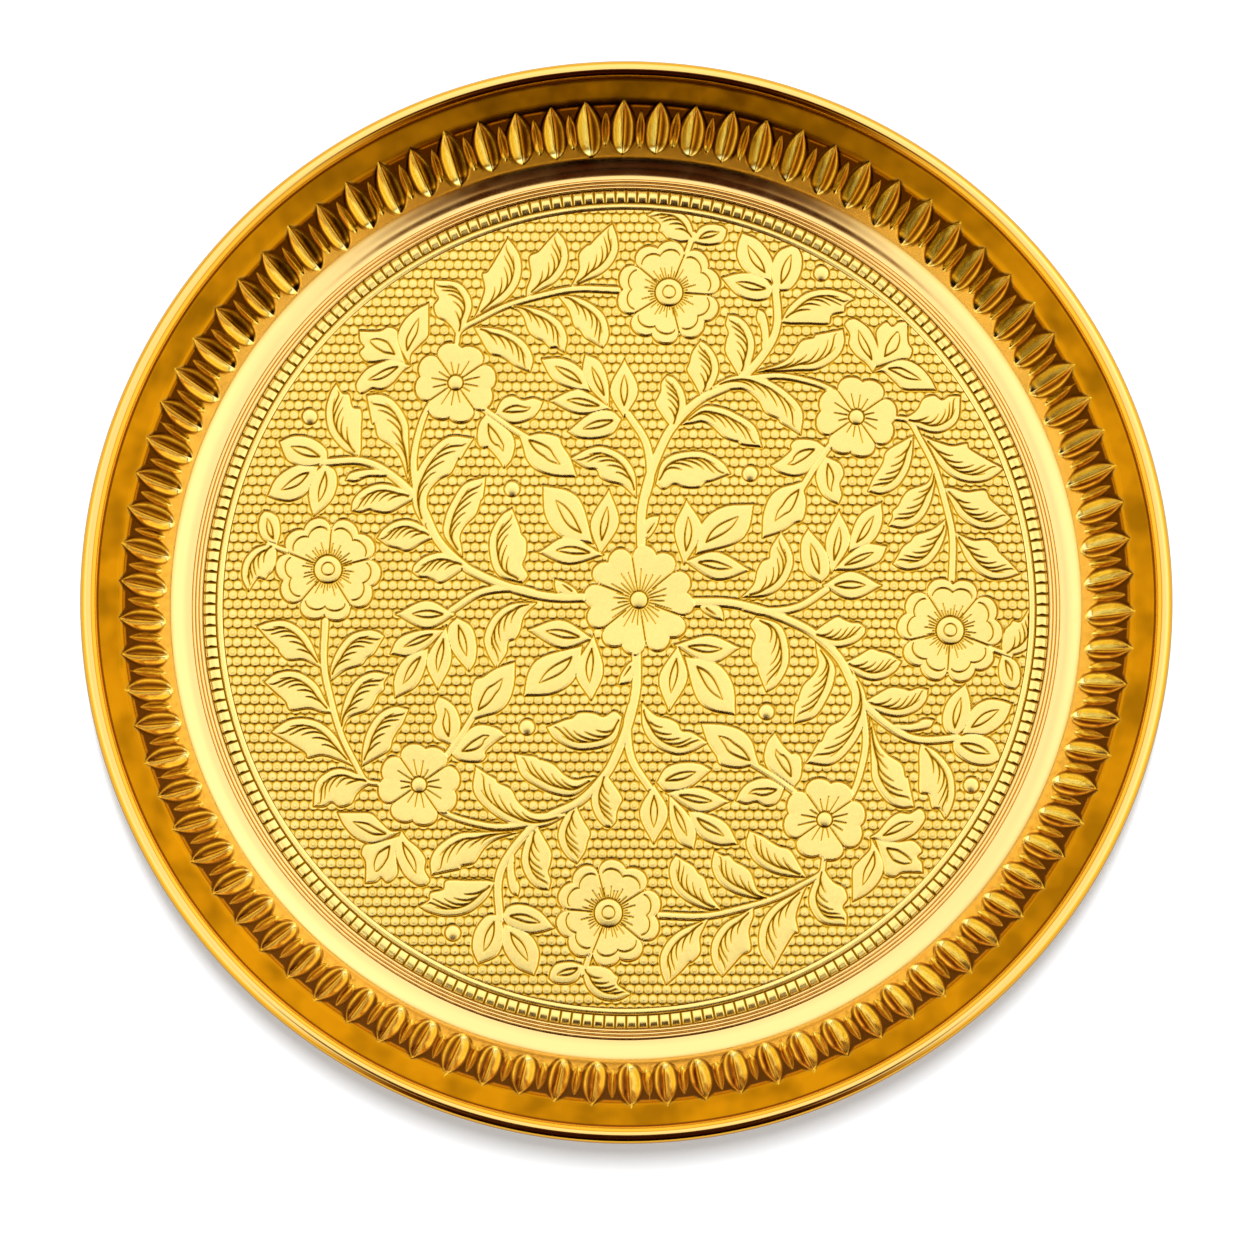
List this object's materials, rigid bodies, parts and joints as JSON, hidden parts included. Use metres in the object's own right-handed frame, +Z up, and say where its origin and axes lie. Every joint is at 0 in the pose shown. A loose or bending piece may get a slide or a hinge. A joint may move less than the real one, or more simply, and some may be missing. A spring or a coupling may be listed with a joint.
{
  "type": "thali plate",
  "caption": "Round metal thali: a dish of thin sheet with a sloping wall and a wired rolled rim, and an embossed floral floor disc held by a beaded ring.",
  "frame": {"origin": "centre of the flat underside, on the surface that the plate rests on", "axes": "+Z up along the plate's axis; +Y towards the far side in the picture"},
  "size_m": [0.305, 0.305, 0.0253],
  "materials": {
    "dish_brass": "polished, golden",
    "wire_brass": "drawn wire, plain",
    "disc_brass": "stamped, satin ground with bright tops",
    "moulding_brass": "polished, golden"
  },
  "bodies": {
    "root": {"dish_shell": "dish_brass", "rim_wire": "wire_brass", "embossed_medallion": "disc_brass", "floor_moulding": "moulding_brass"}
  },
  "joints": []
}
